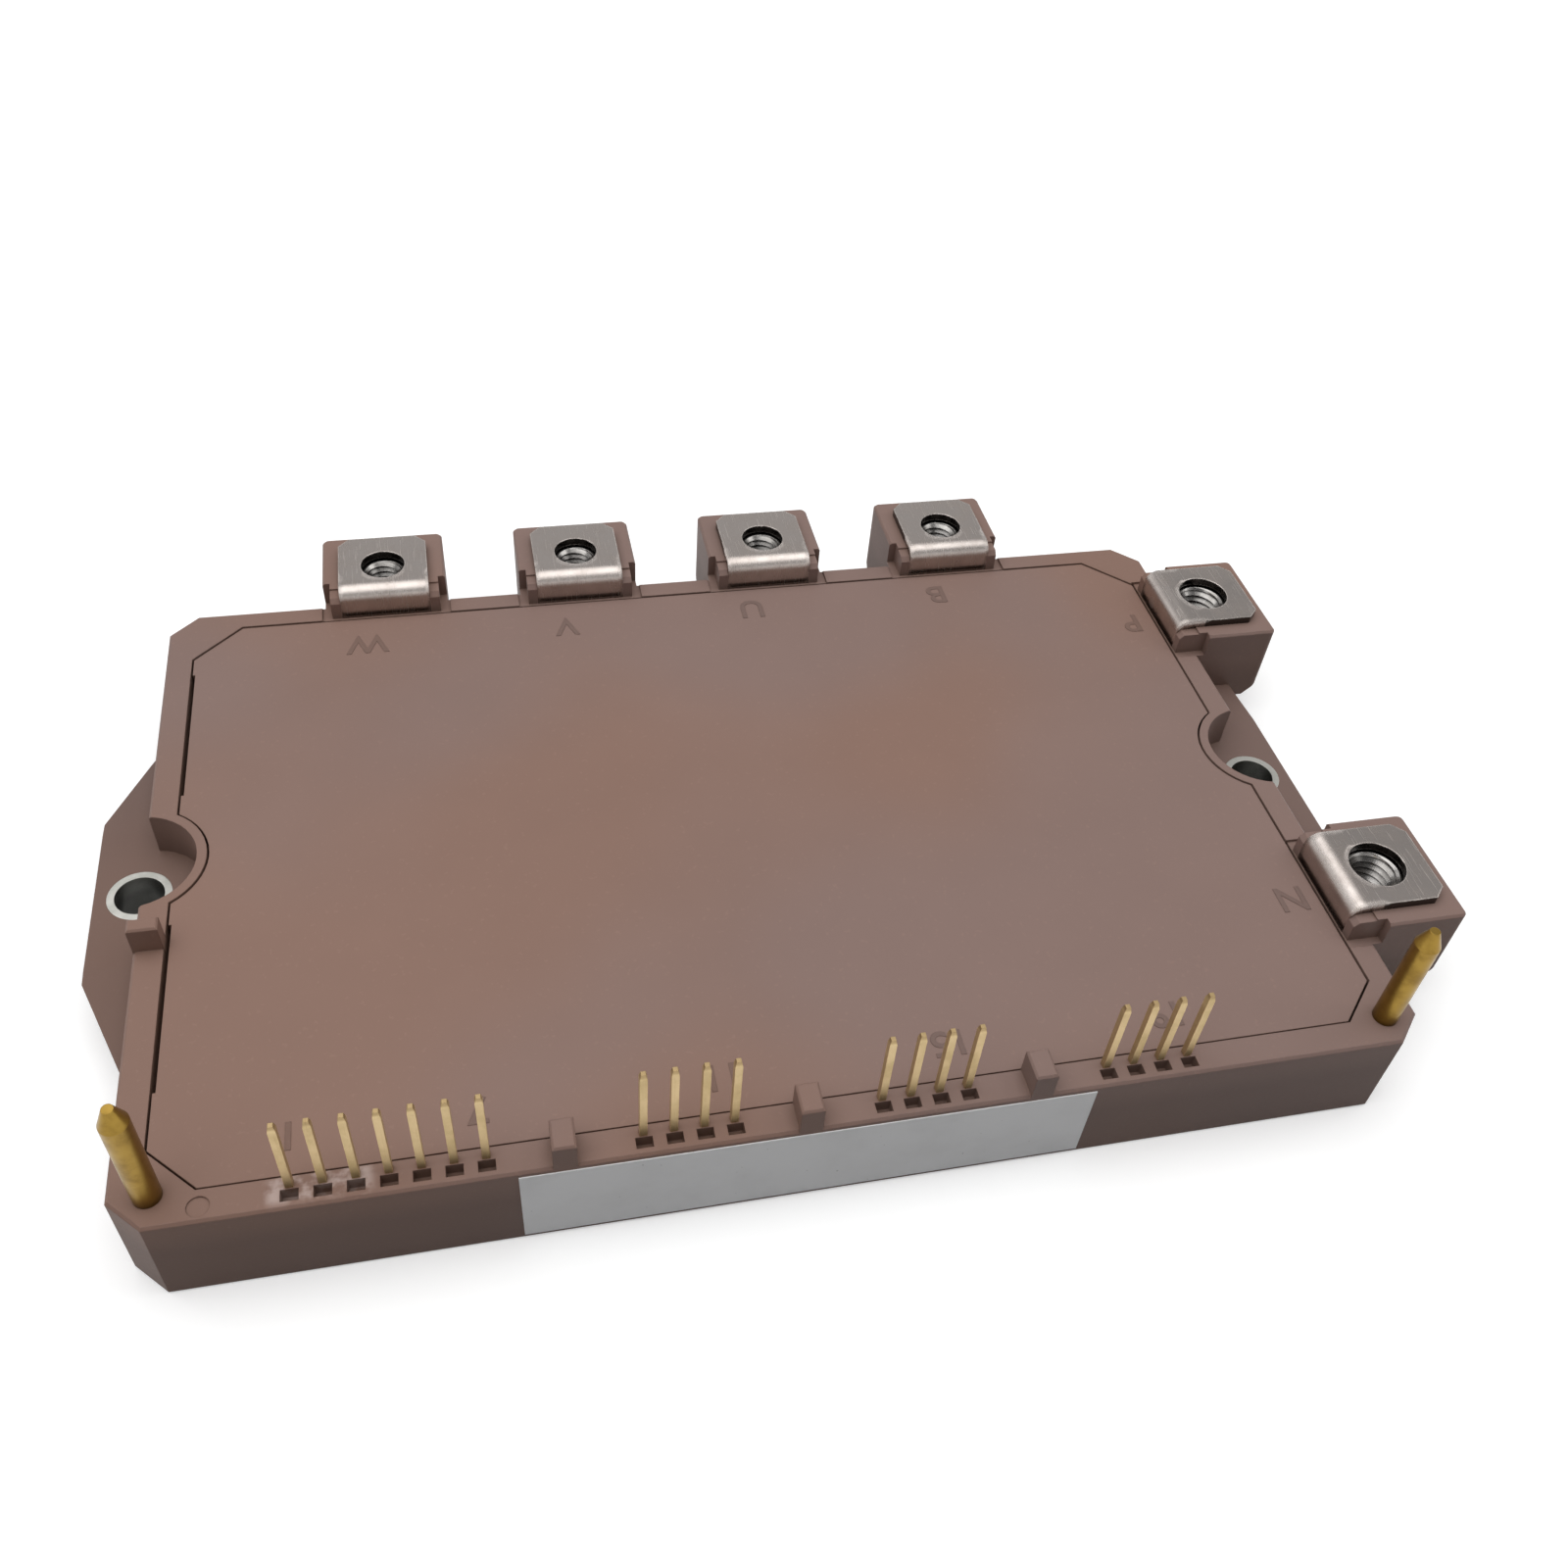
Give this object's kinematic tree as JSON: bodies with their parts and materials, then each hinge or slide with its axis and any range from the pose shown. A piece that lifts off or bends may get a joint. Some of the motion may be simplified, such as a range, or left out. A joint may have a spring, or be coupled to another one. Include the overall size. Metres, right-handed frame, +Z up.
{
  "type": "intelligent power module",
  "caption": "Flat moulded power module with screw terminals on two sides, a row of square control pins and guide pins along the front, and fixing ears.",
  "frame": {"origin": "centre of the case on the mounting plane, the underside of the metal base", "axes": "+X right along the pin row, +Y back towards the phase terminals, +Z up out of the lid"},
  "size_m": [0.1281, 0.0838, 0.0227],
  "materials": {
    "case_plastic": "fine moulded grain, taupe brown",
    "lid_plastic": "fine moulded grain, taupe brown",
    "base_metal": "nickel-plated, rolled",
    "label_paper": "matt white film",
    "collar_metal": "dull zinc",
    "guide_brass": "dull, slightly tarnished",
    "terminal_metal": "satin nickel plating",
    "nut_steel": "bright plated",
    "pin_metal": "pale gold plating",
    "substrate_ceramic": "copper-clad ceramic",
    "chip_silicon": "dark silicon",
    "board_laminate": "solder-masked laminate",
    "ic_plastic": "moulded package",
    "gel_silicone": "clear soft gel"
  },
  "bodies": {
    "root": {"case_frame": "case_plastic", "lid": "lid_plastic", "base_plate": "base_metal", "label": "label_paper", "mounting_collar_left": "collar_metal", "guide_pin_left": "guide_brass", "mounting_collar_right": "collar_metal", "guide_pin_right": "guide_brass", "terminal_w": "terminal_metal", "nut_w": "nut_steel", "terminal_v": "terminal_metal", "nut_v": "nut_steel", "terminal_u": "terminal_metal", "nut_u": "nut_steel", "terminal_b": "terminal_metal", "nut_b": "nut_steel", "terminal_n": "terminal_metal", "nut_n": "nut_steel", "terminal_p": "terminal_metal", "nut_p": "nut_steel", "control_pin_01": "pin_metal", "control_pin_02": "pin_metal", "control_pin_03": "pin_metal", "control_pin_04": "pin_metal", "control_pin_05": "pin_metal", "control_pin_06": "pin_metal", "control_pin_07": "pin_metal", "control_pin_08": "pin_metal", "control_pin_09": "pin_metal", "control_pin_10": "pin_metal", "control_pin_11": "pin_metal", "control_pin_12": "pin_metal", "control_pin_13": "pin_metal", "control_pin_14": "pin_metal", "control_pin_15": "pin_metal", "control_pin_16": "pin_metal", "control_pin_17": "pin_metal", "control_pin_18": "pin_metal", "control_pin_19": "pin_metal", "substrate_w": "substrate_ceramic", "igbt_w_high": "chip_silicon", "diode_w_high": "chip_silicon", "igbt_w_low": "chip_silicon", "diode_w_low": "chip_silicon", "substrate_v": "substrate_ceramic", "igbt_v_high": "chip_silicon", "diode_v_high": "chip_silicon", "igbt_v_low": "chip_silicon", "diode_v_low": "chip_silicon", "substrate_u": "substrate_ceramic", "igbt_u_high": "chip_silicon", "diode_u_high": "chip_silicon", "igbt_u_low": "chip_silicon", "diode_u_low": "chip_silicon", "substrate_b": "substrate_ceramic", "igbt_b_high": "chip_silicon", "diode_b_high": "chip_silicon", "control_board": "board_laminate", "driver_ics": "ic_plastic", "gel_fill": "gel_silicone"}
  },
  "joints": []
}
